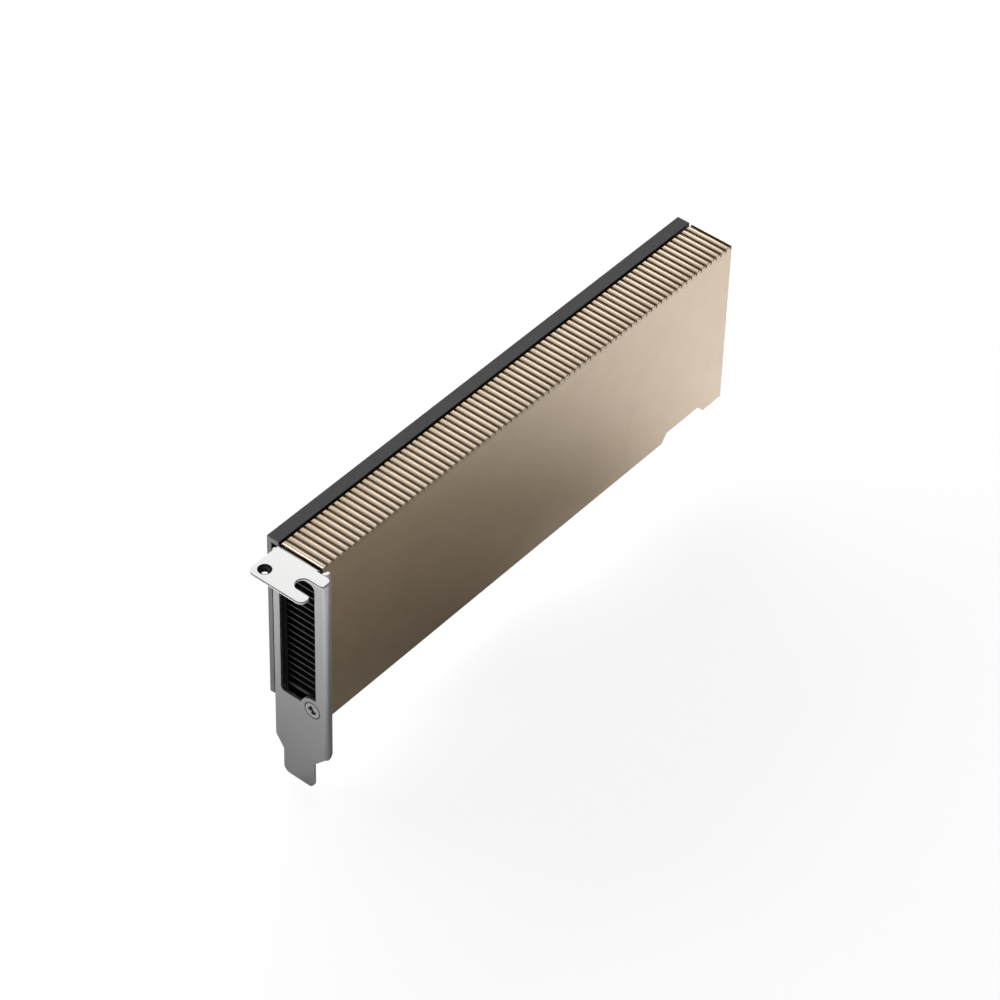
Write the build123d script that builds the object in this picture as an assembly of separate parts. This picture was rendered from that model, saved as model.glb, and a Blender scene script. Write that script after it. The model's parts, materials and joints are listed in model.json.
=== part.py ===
from build123d import *
import math
import os

# A half-length, low-profile passive accelerator card, upright in its slot, in millimetres.
# Origin: axis of the bracket's screw slot, on the seat under the bracket's tab.
# +X runs along the card from the bracket, +Y from the cover's face to the back plate, +Z up.

# Bracket sheet
SHEET = 0.86
SLOT_RADIUS = 2.21
SLOT_TO_FACE = 5.85
BRACKET_HEIGHT = 79.2
PLATE_WIDTH = 17.45
PLATE_BEHIND_BOARD = 0.85
FLANGE_DEPTH = 2.1
FLANGE_BEND = 1.2
FLANGE_TOP = 0.5
FLANGE_TOP_CORNER = 0.5
FLANGE_BOTTOM_CORNER = 2.05
FOLD_RADIUS = 1.0
RELIEF_DEPTH = 1.3
BACK_STRIP_DROP = 1.0
RELIEF_WIDTH = 0.35
FRONT_RELIEF_WIDTH = 1.3
TONGUE_LENGTH = 8.14
CHAMFER_DROP = 3.8
FRONT_SHOULDER_RISE = 4.2
FRONT_SHOULDER_SET = 0.8
FRONT_SHOULDER_LIFT = 0.7
TONGUE_INSET = 2.6
TONGUE_WIDTH = 10.19
TONGUE_BACK_CORNER = 2.0
TONGUE_FRONT_CORNER = 1.9

# Bracket tab
TAB_DEPTH = 11.15
TAB_BEHIND_SLOT = 13.6
TAB_BEFORE_SLOT = 4.2
TAB_BACK_CORNER = 2.0
TAB_FINGER_CORNER = 1.7
TAB_INNER_CORNER = 1.2
TAB_SLOT_CORNER = 0.8
TAB_FINGER_SET = 0.15
TAB_HOLE_X = -2.17
TAB_HOLE_Y = 10.58
TAB_HOLE_RADIUS = 1.9

# Bush in the tab
BUSH_BORE_RADIUS = 1.35
BUSH_LEAD_IN = 0.4
BUSH_SET = 0.06
BUSH_GAP = 0.02
BUSH_DEPTH = 1.2
BUSH_FOOT_BREAK = 0.15

# Bracket window
WINDOW_FRONT_Y = 1.67
WINDOW_BACK_Y = 13.44
WINDOW_TOP = -5.34
WINDOW_BOTTOM_LIFT = 4.65
WINDOW_TOP_CORNER = 1.9
WINDOW_BOTTOM_CORNER = 1.2
WINDOW_LAND_RADIUS = 3.85
WINDOW_LAND_CORNER = 0.6

# Screws
SCREW_RADIUS = 1.25
THREAD_GAP = 0.02
HOLE_GAP = 0.2
SCREW_HEAD_RADIUS = 2.4
HEAD_GAP = 0.1
BRACKET_HEAD_DEPTH = 0.7
COVER_HEAD_DEPTH = 1.2
CLAMP_HEAD_DEPTH = 1.3
CLAMP_HEAD_RADIUS = 2.25
RECESS_SPAN = 2.8
RECESS_WIDTH = 0.7
RECESS_CORE = 0.75
RECESS_DEPTH = 0.55
BLIND_END = 0.4
BRACKET_SCREW_LENGTH = 8.0
COVER_SCREW_GRIP = 4.4
LOWER_BRACKET_SCREW_Y = 2.9
LOWER_BRACKET_SCREW_LIFT = 3.91
UPPER_BRACKET_SCREW = (10.7, -2.95)

# Board
BOARD_FRONT_Y = 14.6
BOARD_THICKNESS = 1.57
BOARD_NEAR = 4.0
BOARD_FAR_GAP = 0.3
BOARD_TOP = -1.8
CARD_HEIGHT = 68.9
EDGE_DEPTH = 8.25
KEY_CENTRE = 57.15
KEY_WIDTH = 1.9
EDGE_BEFORE_KEY = 12.15
EDGE_AFTER_KEY = 39.15
EDGE_CHAMFER_HEIGHT = 1.3
EDGE_CHAMFER_DEPTH = 0.5
CONTACT_PITCH = 1.0
CONTACT_WIDTH = 0.7
CONTACT_HEIGHT = 4.6
CONTACT_THICKNESS = 0.04
CONTACT_TO_KEY = 1.5
CONTACTS_BEFORE_KEY = 11
CONTACTS_AFTER_KEY = 38

# Cover
COVER_NEAR = 2.05
COVER_LENGTH = 163.4
COVER_DEPTH = 13.9
COVER_HEIGHT = 53.65
COVER_REAR_GAP = 0.3
COVER_WALL = 1.2
COVER_FLOOR = 1.0
COVER_EDGE_BREAK = 0.3
REAR_EDGE_BREAK = 0.5
COVER_END_BREAK = 0.12
NEAR_LIP = 0.5
NEAR_LIP_DEPTH = 1.0
NEAR_EDGE_SETBACK = 0.9
NEAR_EDGE_DROP = 2.6
STEP_TO_FAR_END = 25.9
STEP_RUN = 1.9
FOOT_LENGTH = 7.8
STEP_RISE = 2.63
STEP_CORNER = 0.5

# Ribs across the cover's top
RIB_PITCH = 2.1185
RIB_FIRST_GROOVE = 2.0
RIB_GROOVE_WIDTH = 0.55
RIB_GROOVE_DEPTH = 1.1
RIB_CROWN = 0.35
RIB_FLOOR = 0.8
RIB_LAND_DROP = 0.1

# Heat sink
SINK_NEAR = 1.6
SINK_FAR_GAP = 1.4
SINK_TOP = -4.8
SINK_BOTTOM_LIFT = 6.3
SINK_BASE = 1.5
SINK_LIFT = 1.7
SINK_RAIL = 1.0
SINK_TO_COVER = 0.1
FIN_THICKNESS = 0.4
FIN_NEAR_DEPTH = 0.9
BASE_SETBACK = 8.0
FIN_PITCH = 2.285
FIN_TOP = -7.37
FIN_CLEAR = 1.5

# Bosses
BOSS_RADIUS = 2.3
BOSS_CLEARANCE = 0.4
BOTTOM_BOSS_LIFT = 3.45
TOP_BOSS_Z = -4.6
TOP_BOSS_LENGTH = 5.6
TOP_BOSS_X = 12.0
TOP_BOSS_TO_FAR_END = 7.4
BOTTOM_BOSS_X = (20.0, 55.0, 106.0)
BOTTOM_BOSS_TO_FAR_END = 3.9
BRACKET_BOSS_LENGTH = 8.3
BRACKET_BOSS_HALF = 2.4
UPPER_BOSS_BOTTOM = -4.55
UPPER_BOSS_TOP = -1.4
LOWER_BOSS_TOP_LIFT = 6.1

# Back plate
PLATE_NEAR = 1.8
BACK_PLATE = 1.5
BACK_DEPTH = 4.27
BACK_OVERHANG = 0.95
SEAM_GAP = 0.35
INSULATOR = 0.25
INSULATOR_MARGIN = 3.2
INSULATOR_TOP_MARGIN = 1.5
INSULATOR_CORNER = 2.0
SPACER_RADIUS = 2.5

# Processor and its clamp
PROCESSOR_X = 68.0
SUBSTRATE_SIDE = 31.0
SUBSTRATE_THICKNESS = 1.0
DIE_LENGTH = 15.8
DIE_HEIGHT = 12.7
DIE_THICKNESS = 0.6
FRAME_OPENING = 24.0
FRAME_THICKNESS = 0.5
PASTE_INSET = 0.4
CLAMP_HALF_X = 18.0
CLAMP_HALF_Z = 17.5
CLAMP_POST_RADIUS = 2.4
CLAMP_SHEET = 0.6
CLAMP_ARM = 5.0
CLAMP_EYE = 3.2
CLAMP_RING = 9.0
CLAMP_OPENING = 5.8

# Memory
MEMORY_LENGTH = 12.0
MEMORY_HEIGHT = 14.0
MEMORY_THICKNESS = 1.1
MEMORY_OFFSETS_X = (-41.0, -27.0, 27.0, 41.0)
MEMORY_OFFSETS_Z = (-9.0, 9.0)
PAD_INSET = 1.0

# Power stages
PHASES = 5
PHASE_PITCH = 8.2
STAGE_X = 120.0
STAGE_LENGTH = 6.0
STAGE_HEIGHT = 5.0
STAGE_THICKNESS = 0.9
INDUCTOR_X = 128.0
INDUCTOR_LENGTH = 7.5
INDUCTOR_HEIGHT = 7.0
INDUCTOR_THICKNESS = 3.0
INDUCTOR_EDGE = 0.5
INDUCTOR_POCKET = 1.0
CAPACITOR_X = 135.5
CAPACITOR_LENGTH = 4.3
CAPACITOR_HEIGHT = 7.3
CAPACITOR_THICKNESS = 1.4

# Small parts on the board: distance from the bracket's face, height, length, width, thickness
INPUT_FUSE = (141.5, -38.0, 2.7, 6.1, 1.2)
POWER_CONTROLLER = (141.5, -20.0, 6.0, 6.0, 0.9)
FIRMWARE_CHIP = (14.0, -34.0, 6.0, 5.0, 0.8)
MONITOR_CHIP = (14.0, -21.0, 8.0, 8.0, 0.9)
CLOCK_CRYSTAL = (14.0, -11.0, 3.2, 2.5, 0.7)

# Small capacitors round the die and on the board's back
DIE_CAPACITOR = (0.6, 1.0, 0.4)
DIE_CAPACITOR_PITCH = 1.6
DIE_CAPACITOR_GAP = 2.0
BACK_CAPACITOR = (1.6, 0.8, 0.6)
BACK_CAPACITOR_PITCH_X = 2.4
BACK_CAPACITOR_PITCH_Z = 2.0
BACK_CAPACITOR_SIDE_X = 13.0

FACE_X = SLOT_TO_FACE
TIP_Z = SHEET - BRACKET_HEIGHT
COVER_BOTTOM = -COVER_HEIGHT
WINDOW_BOTTOM = COVER_BOTTOM + WINDOW_BOTTOM_LIFT
LOWER_BRACKET_SCREW = (LOWER_BRACKET_SCREW_Y, COVER_BOTTOM + LOWER_BRACKET_SCREW_LIFT)
LOWER_BOSS_TOP = COVER_BOTTOM + LOWER_BOSS_TOP_LIFT
SINK_BOTTOM = COVER_BOTTOM + SINK_BOTTOM_LIFT
PROCESSOR_Z = (SINK_TOP + SINK_BOTTOM) / 2
PLATE_BACK_Y = BOARD_FRONT_Y + PLATE_BEHIND_BOARD
PLATE_FRONT_Y = PLATE_BACK_Y - PLATE_WIDTH
INNER_X = FACE_X + SHEET
BOARD_BACK_Y = BOARD_FRONT_Y + BOARD_THICKNESS
SINK_BACK_Y = BOARD_FRONT_Y - SINK_LIFT
SINK_ROOT_Y = SINK_BACK_Y - SINK_BASE
COVER_X0 = FACE_X + COVER_NEAR
COVER_X1 = COVER_X0 + COVER_LENGTH
SINK_X0 = FACE_X + SINK_NEAR
SINK_X1 = COVER_X1 - SINK_FAR_GAP
BACK_X0 = FACE_X + PLATE_NEAR
BACK_BOTTOM = COVER_BOTTOM - BACK_OVERHANG
COVER_FRONT_Y = BOARD_FRONT_Y - COVER_DEPTH
COVER_INNER_Y = COVER_FRONT_Y + COVER_WALL
COVER_REAR_Y = BOARD_FRONT_Y - COVER_REAR_GAP
ROOF_BOTTOM = -RIB_GROOVE_DEPTH - RIB_FLOOR
BACK_OUTER_Y = BOARD_FRONT_Y + BACK_DEPTH
BACK_INNER_Y = BACK_OUTER_Y - BACK_PLATE
TOP_BOSSES = [(FACE_X + TOP_BOSS_X, TOP_BOSS_Z), (COVER_X1 - TOP_BOSS_TO_FAR_END, TOP_BOSS_Z)]
BOTTOM_BOSSES = [(FACE_X + x, COVER_BOTTOM + BOTTOM_BOSS_LIFT) for x in BOTTOM_BOSS_X]
BOTTOM_BOSSES.append((COVER_X1 - BOTTOM_BOSS_TO_FAR_END, COVER_BOTTOM + BOTTOM_BOSS_LIFT))
BOSS_SPOTS = TOP_BOSSES + BOTTOM_BOSSES
CLAMP_SPOTS = [(FACE_X + PROCESSOR_X + sx * CLAMP_HALF_X, PROCESSOR_Z + sz * CLAMP_HALF_Z)
               for sx in (-1, 1) for sz in (-1, 1)]
BRACKET_SPOTS = [LOWER_BRACKET_SCREW, UPPER_BRACKET_SCREW]


def outline(*corners):
    """A closed face through corners (a, b) or (a, b, radius)."""
    face = make_face(Polyline(*[corner[:2] for corner in corners], close=True))
    for corner in corners:
        if len(corner) == 3:
            vertex = face.vertices().sort_by_distance((corner[0], corner[1], 0))[0]
            face = fillet(vertex, corner[2])
    return face


def along_x(face, x0, x1):
    """Extrude a face drawn in (Y, Z) from x0 to x1."""
    return extrude(Plane.YZ.offset(x0) * face, x1 - x0)


def along_y(face, y0, y1):
    """Extrude a face drawn in (X, Z) from y0 to y1."""
    return extrude(Plane.XZ.offset(-y1) * face, y1 - y0)


def along_z(face, z0, z1):
    """Extrude a face drawn in (X, Y) from z0 to z1."""
    return extrude(Plane.XY.offset(z0) * face, z1 - z0)


def block(x0, x1, y0, y1, z0, z1):
    """A box between six planes."""
    return Pos((x0 + x1) / 2, (y0 + y1) / 2, (z0 + z1) / 2) * Box(x1 - x0, y1 - y0, z1 - z0)


def slab(x, z, length, height, y0, y1):
    """A box centred on (x, z) that fills y0 to y1, as parts on a board do."""
    return block(x - length / 2, x + length / 2, y0, y1, z - height / 2, z + height / 2)


def disc_y(x, z, radius, y0, y1):
    """A round bar along Y."""
    return along_y(Pos(x, z) * Circle(radius), y0, y1)


def disc_x(y, z, radius, x0, x1):
    """A round bar along X."""
    return along_x(Pos(y, z) * Circle(radius), x0, x1)


def group(solids):
    """Separate like pieces that share one node."""
    return Compound(children=[piece for solid in solids for piece in solid.solids()])


def turned(points):
    """A solid of revolution about Z from (radius, height) points."""
    return revolve(Plane.XZ * make_face(Polyline(*points, close=True)), Axis.Z)


def sunk_cone(gap, depth):
    """The countersunk space under a flat head, face at z 0, opening upwards."""
    return turned([(0, 0.5), (SCREW_HEAD_RADIUS + gap, 0.5), (SCREW_HEAD_RADIUS + gap, 0),
                   (SCREW_RADIUS + gap, -depth), (0, -depth)])


def cross_recess():
    """A cross driver recess in a head whose face is at z 0."""
    blade = Pos(0, 0, -RECESS_DEPTH / 2) * Box(RECESS_SPAN, RECESS_WIDTH, RECESS_DEPTH)
    core = Pos(0, 0, -RECESS_DEPTH / 2) * Cylinder(RECESS_CORE, RECESS_DEPTH)
    return blade + Rot(0, 0, 90) * blade + core


def flat_screw(depth, length):
    """A countersunk screw with its head's face at z 0."""
    body = turned([(0, 0), (SCREW_HEAD_RADIUS, 0), (SCREW_RADIUS, -depth), (SCREW_RADIUS, -length), (0, -length)])
    return body - cross_recess()


def pan_screw(depth, length):
    """A pan-head screw with its seat at z 0."""
    body = turned([(0, depth), (CLAMP_HEAD_RADIUS - 0.4, depth), (CLAMP_HEAD_RADIUS, depth - 0.4),
                   (CLAMP_HEAD_RADIUS, 0), (SCREW_RADIUS, 0), (SCREW_RADIUS, -length), (0, -length)])
    return body - Pos(0, 0, depth) * cross_recess()


def facing_bracket(solid, y, z):
    """Stand a piece modelled along Z on the bracket's outer face, its head towards -X."""
    return Pos(FACE_X, y, z) * Rot(0, -90, 0) * solid


def facing_back(solid, x, y, z):
    """Stand a piece modelled along Z on a face towards +Y."""
    return Pos(x, y, z) * Rot(-90, 0, 0) * solid


def bracket_plate():
    """Upright plate and side flange: one folded section, trimmed to the plate's outline."""
    fold = PLATE_FRONT_Y + FLANGE_BEND
    inner = FLANGE_BEND - SHEET
    centre = (FACE_X + FLANGE_BEND, fold)
    section = make_face(
        Line((FACE_X, PLATE_BACK_Y), (FACE_X, fold))
        + RadiusArc((FACE_X, fold), (centre[0], PLATE_FRONT_Y), -FLANGE_BEND)
        + Line((centre[0], PLATE_FRONT_Y), (FACE_X + FLANGE_DEPTH, PLATE_FRONT_Y))
        + Line((FACE_X + FLANGE_DEPTH, PLATE_FRONT_Y), (FACE_X + FLANGE_DEPTH, PLATE_FRONT_Y + SHEET))
        + Line((FACE_X + FLANGE_DEPTH, PLATE_FRONT_Y + SHEET), (centre[0], PLATE_FRONT_Y + SHEET))
        + RadiusArc((centre[0], PLATE_FRONT_Y + SHEET), (INNER_X, fold), inner)
        + Line((INNER_X, fold), (INNER_X, PLATE_BACK_Y))
        + Line((INNER_X, PLATE_BACK_Y), (FACE_X, PLATE_BACK_Y)))
    sheet = along_z(section, TIP_Z, SHEET)
    top = SHEET - FOLD_RADIUS
    tongue_back = PLATE_BACK_Y - TONGUE_INSET
    tongue_front = tongue_back - TONGUE_WIDTH
    shoulder = TIP_Z + TONGUE_LENGTH
    flange_bottom = shoulder + FRONT_SHOULDER_LIFT + FRONT_SHOULDER_RISE
    relief = top - RELIEF_DEPTH
    strip_top = top - BACK_STRIP_DROP
    fold_front = fold + FRONT_RELIEF_WIDTH
    back_slit = TAB_BEHIND_SLOT + RELIEF_WIDTH
    shape = outline(
        (PLATE_BACK_Y, strip_top), (PLATE_BACK_Y, shoulder + CHAMFER_DROP, 1.5), (tongue_back, shoulder, 1.5),
        (tongue_back, TIP_Z, TONGUE_BACK_CORNER), (tongue_front, TIP_Z, TONGUE_FRONT_CORNER),
        (tongue_front, flange_bottom - FRONT_SHOULDER_RISE), (PLATE_FRONT_Y + FRONT_SHOULDER_SET, flange_bottom),
        (PLATE_FRONT_Y, flange_bottom), (PLATE_FRONT_Y, FLANGE_TOP), (fold, FLANGE_TOP), (fold, relief),
        (fold_front, relief), (fold_front, top), (TAB_BEHIND_SLOT, top), (TAB_BEHIND_SLOT, relief),
        (back_slit, relief), (back_slit, strip_top))
    sheet &= along_x(shape, FACE_X - 1, FACE_X + FLANGE_DEPTH + 1)
    return sheet - flange_corners(flange_bottom)


def flange_corners(bottom):
    """What the flange's two rounded free corners lose."""
    edge = FACE_X + FLANGE_DEPTH
    pieces = []
    for tip, inwards, radius in ((bottom, 1, FLANGE_BOTTOM_CORNER), (FLANGE_TOP, -1, FLANGE_TOP_CORNER)):
        square = Pos(edge - radius / 2 + 1, tip + inwards * (radius / 2 - 1)) * Rectangle(radius + 2, radius + 2)
        round_off = Pos(edge - radius, tip + inwards * radius) * Circle(radius)
        keep = Pos(edge - radius - 5, tip + inwards * radius) * Rectangle(10, 20)
        pieces.append(along_y(square - round_off - keep, PLATE_FRONT_Y - 1, PLATE_FRONT_Y + SHEET + 0.5))
    return pieces[0] + pieces[1]


def bracket_window():
    """Air window in the plate, with the round land that the lower screw sits on."""
    screw_y, screw_z = LOWER_BRACKET_SCREW
    face = outline(
        (WINDOW_FRONT_Y, WINDOW_TOP, WINDOW_TOP_CORNER), (WINDOW_BACK_Y, WINDOW_TOP, WINDOW_TOP_CORNER),
        (WINDOW_BACK_Y, WINDOW_BOTTOM, WINDOW_BOTTOM_CORNER), (WINDOW_FRONT_Y, WINDOW_BOTTOM))
    face -= Pos(screw_y, screw_z) * Circle(WINDOW_LAND_RADIUS)
    for reach, drop in ((WINDOW_FRONT_Y - screw_y, None), (None, WINDOW_BOTTOM - screw_z)):
        if drop is None:
            drop = math.sqrt(WINDOW_LAND_RADIUS ** 2 - reach ** 2)
        else:
            reach = math.sqrt(WINDOW_LAND_RADIUS ** 2 - drop ** 2)
        vertex = face.vertices().sort_by_distance((screw_y + reach, screw_z + drop, 0))[0]
        face = fillet(vertex, WINDOW_LAND_CORNER)
    return along_x(face, FACE_X - 1, INNER_X + 1)


def bracket_tab():
    """Seat tab with its open screw slot, its fold and the bush's hole."""
    outer_x = FACE_X - TAB_DEPTH
    fold_x = INNER_X - FOLD_RADIUS
    finger_x = fold_x - TAB_FINGER_SET
    front = -TAB_BEFORE_SLOT
    fold_front = PLATE_FRONT_Y + FLANGE_BEND + FRONT_RELIEF_WIDTH
    face = outline(
        (outer_x, TAB_BEHIND_SLOT, TAB_BACK_CORNER), (fold_x, TAB_BEHIND_SLOT), (fold_x, fold_front),
        (finger_x, fold_front), (finger_x, front, TAB_INNER_CORNER),
        (SLOT_RADIUS, front, TAB_SLOT_CORNER), (SLOT_RADIUS, 0), (-SLOT_RADIUS, 0),
        (-SLOT_RADIUS, front, TAB_SLOT_CORNER), (outer_x, front, TAB_FINGER_CORNER))
    face -= Circle(SLOT_RADIUS)
    face -= Pos(TAB_HOLE_X, TAB_HOLE_Y) * Circle(TAB_HOLE_RADIUS)
    tab = along_z(face, 0, SHEET)
    ring = Pos(fold_x, SHEET - FOLD_RADIUS) * (Circle(FOLD_RADIUS) - Circle(FOLD_RADIUS - SHEET))
    quarter = Pos(fold_x + FOLD_RADIUS / 2, SHEET - FOLD_RADIUS / 2) * Rectangle(FOLD_RADIUS, FOLD_RADIUS)
    return tab + along_y(ring & quarter, fold_front, TAB_BEHIND_SLOT)


def tab_bush():
    """Threaded bush pressed into the tab; its shank stands out below and leaves the seat round it free."""
    shank = TAB_HOLE_RADIUS - BUSH_GAP
    top = SHEET - BUSH_SET
    section = make_face(Polyline(
        (BUSH_BORE_RADIUS, -BUSH_DEPTH), (shank - BUSH_FOOT_BREAK, -BUSH_DEPTH),
        (shank, -BUSH_DEPTH + BUSH_FOOT_BREAK), (shank, top), (BUSH_BORE_RADIUS + BUSH_LEAD_IN, top),
        (BUSH_BORE_RADIUS, top - BUSH_LEAD_IN), close=True))
    return Pos(TAB_HOLE_X, TAB_HOLE_Y) * revolve(Plane.XZ * section, Axis.Z)


def bracket():
    """The whole bracket, one piece of sheet."""
    body = bracket_plate() - bracket_window() + bracket_tab()
    for y, z in BRACKET_SPOTS:
        body -= facing_bracket(sunk_cone(HEAD_GAP, BRACKET_HEAD_DEPTH), y, z)
        body -= disc_x(y, z, SCREW_RADIUS + HEAD_GAP, FACE_X, INNER_X + 1)
    return body


def bracket_screws():
    """The two countersunk screws that hold the bracket to the cover's bosses."""
    screw = flat_screw(BRACKET_HEAD_DEPTH, BRACKET_SCREW_LENGTH)
    return group([facing_bracket(screw, y, z) for y, z in BRACKET_SPOTS])


def rib_cutter():
    """The space above the ribs, bounded below by crowned crests, flat grooves and a land at each end."""
    half_groove = RIB_GROOVE_WIDTH / 2
    half_crest = RIB_PITCH / 2 - half_groove
    radius = (half_crest ** 2 + RIB_CROWN ** 2) / (2 * RIB_CROWN)
    ceiling = 2.0
    grooves = int((COVER_LENGTH - RIB_FIRST_GROOVE) / RIB_PITCH) + 1
    centres = [COVER_X0 + RIB_FIRST_GROOVE + RIB_PITCH * step for step in range(grooves)]
    reach = math.sqrt(radius ** 2 - (radius - RIB_LAND_DROP) ** 2)
    before = (COVER_X0 - 1, -RIB_LAND_DROP)
    start = (centres[0] - RIB_PITCH / 2 - reach, -RIB_LAND_DROP)
    edges = [Line(before, start)]
    for centre in centres:
        crest_end = (centre - half_groove, -RIB_CROWN)
        crest = (centre - RIB_PITCH / 2, 0)
        floor = [(centre - half_groove, -RIB_GROOVE_DEPTH), (centre + half_groove, -RIB_GROOVE_DEPTH)]
        edges.append(ThreePointArc(start, crest, crest_end))
        edges.append(Line(crest_end, floor[0]))
        edges.append(Line(floor[0], floor[1]))
        start = (centre + half_groove, -RIB_LAND_DROP if centre == centres[-1] else -RIB_CROWN)
        edges.append(Line(floor[1], start))
    beyond = (COVER_X1 + 1, -RIB_LAND_DROP)
    edges.append(Line(start, beyond))
    edges.append(Line(beyond, (beyond[0], ceiling)))
    edges.append(Line((beyond[0], ceiling), (before[0], ceiling)))
    edges.append(Line((before[0], ceiling), before))
    return along_y(make_face(edges), COVER_FRONT_Y - 1, COVER_REAR_Y + 1)


def edge_cut(at, level, size, inwards):
    """Section that a 45 degree break of a top edge takes away."""
    past = size + 1
    return make_face(Polyline((at - inwards, level + past), (at - inwards, level - past),
                              (at + inwards * past, level + past), close=True))


def cover_shell():
    """Face, ribbed roof and floor of the cover, before its bosses."""
    bottom = COVER_BOTTOM
    near_x = COVER_X0 + NEAR_EDGE_SETBACK
    step_x = COVER_X1 - STEP_TO_FAR_END
    foot_x = COVER_X1 - FOOT_LENGTH
    face = outline(
        (COVER_X0, 1), (COVER_X0, ROOF_BOTTOM), (near_x, -NEAR_EDGE_DROP), (near_x, bottom),
        (step_x, bottom, STEP_CORNER), (step_x + STEP_RUN, bottom + STEP_RISE, STEP_CORNER),
        (foot_x, bottom + STEP_RISE), (foot_x, bottom), (COVER_X1, bottom), (COVER_X1, 1))
    shell = along_y(face, COVER_FRONT_Y, COVER_INNER_Y)
    shell += block(COVER_X0, COVER_X1, COVER_FRONT_Y, COVER_REAR_Y, ROOF_BOTTOM, 1)
    floor = outline(
        (near_x, bottom), (step_x, bottom, STEP_CORNER), (step_x + STEP_RUN, bottom + STEP_RISE, STEP_CORNER),
        (foot_x, bottom + STEP_RISE), (foot_x, bottom + STEP_RISE + COVER_FLOOR),
        (step_x + STEP_RUN - COVER_FLOOR / 2, bottom + STEP_RISE + COVER_FLOOR),
        (step_x - COVER_FLOOR / 2, bottom + COVER_FLOOR), (near_x, bottom + COVER_FLOOR))
    shell += along_y(floor, COVER_FRONT_Y, COVER_REAR_Y)
    shell += block(foot_x, COVER_X1, COVER_FRONT_Y, COVER_REAR_Y, bottom, bottom + STEP_RISE + COVER_FLOOR)
    shell -= rib_cutter()
    shell -= along_x(edge_cut(COVER_FRONT_Y, 0, COVER_EDGE_BREAK, 1), COVER_X0 - 1, COVER_X1 + 1)
    shell -= along_x(edge_cut(COVER_REAR_Y, 0, REAR_EDGE_BREAK, -1), COVER_X0 - 1, COVER_X1 + 1)
    shell -= along_y(edge_cut(COVER_X0, -RIB_LAND_DROP, COVER_END_BREAK, 1), COVER_FRONT_Y - 1, COVER_REAR_Y + 1)
    return shell - block(COVER_X0 - 1, COVER_X0 + NEAR_LIP_DEPTH, COVER_INNER_Y, COVER_REAR_Y + 1, ROOF_BOTTOM - 1,
                         -NEAR_LIP)


def front_cover():
    """The cover with the bosses that its own screws and the bracket's screws enter."""
    body = cover_shell()
    for x, z in BOSS_SPOTS:
        top_row = z == TOP_BOSS_Z
        root = BOARD_FRONT_Y - TOP_BOSS_LENGTH if top_row else COVER_INNER_Y - COVER_WALL / 2
        body += disc_y(x, z, BOSS_RADIUS, root, BOARD_FRONT_Y)
        if top_row:
            body += block(x - BOSS_RADIUS, x + BOSS_RADIUS, root, COVER_REAR_Y, z, ROOF_BOTTOM)
    lower_y, lower_z = LOWER_BRACKET_SCREW
    upper_y, upper_z = UPPER_BRACKET_SCREW
    x0, x1 = INNER_X, INNER_X + BRACKET_BOSS_LENGTH
    body += block(x0, x1, COVER_FRONT_Y, lower_y + BRACKET_BOSS_HALF, COVER_BOTTOM + COVER_FLOOR, LOWER_BOSS_TOP)
    body += block(x0, x1, upper_y - BRACKET_BOSS_HALF, upper_y + BRACKET_BOSS_HALF, UPPER_BOSS_BOTTOM, ROOF_BOTTOM)
    body += block(x0, COVER_X0 + NEAR_LIP_DEPTH, upper_y - BRACKET_BOSS_HALF, upper_y + BRACKET_BOSS_HALF, ROOF_BOTTOM,
                  UPPER_BOSS_TOP)
    for y, z in BRACKET_SPOTS:
        body -= disc_x(y, z, SCREW_RADIUS + THREAD_GAP, x0, FACE_X + BRACKET_SCREW_LENGTH + BLIND_END)
    for x, z in BOSS_SPOTS:
        body -= disc_y(x, z, SCREW_RADIUS + THREAD_GAP, BOARD_FRONT_Y - COVER_SCREW_GRIP - BLIND_END, BOARD_FRONT_Y)
    return body


def fin_heights():
    """Middle of each fin."""
    fins = int((FIN_TOP - SINK_BOTTOM - SINK_RAIL - FIN_CLEAR) / FIN_PITCH) + 1
    return [FIN_TOP - FIN_PITCH * step for step in range(fins)]


def spaces_between_fins(x0, x1):
    """What the base loses between the fins where they run past it at the bracket's end."""
    levels = [SINK_TOP - SINK_RAIL + FIN_THICKNESS / 2] + fin_heights() + [SINK_BOTTOM + SINK_RAIL - FIN_THICKNESS / 2]
    spaces = [block(x0 - 1, x1, SINK_ROOT_Y, SINK_BACK_Y + 1, low + FIN_THICKNESS / 2, high - FIN_THICKNESS / 2)
              for high, low in zip(levels, levels[1:])]
    return Compound(children=spaces)


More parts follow.
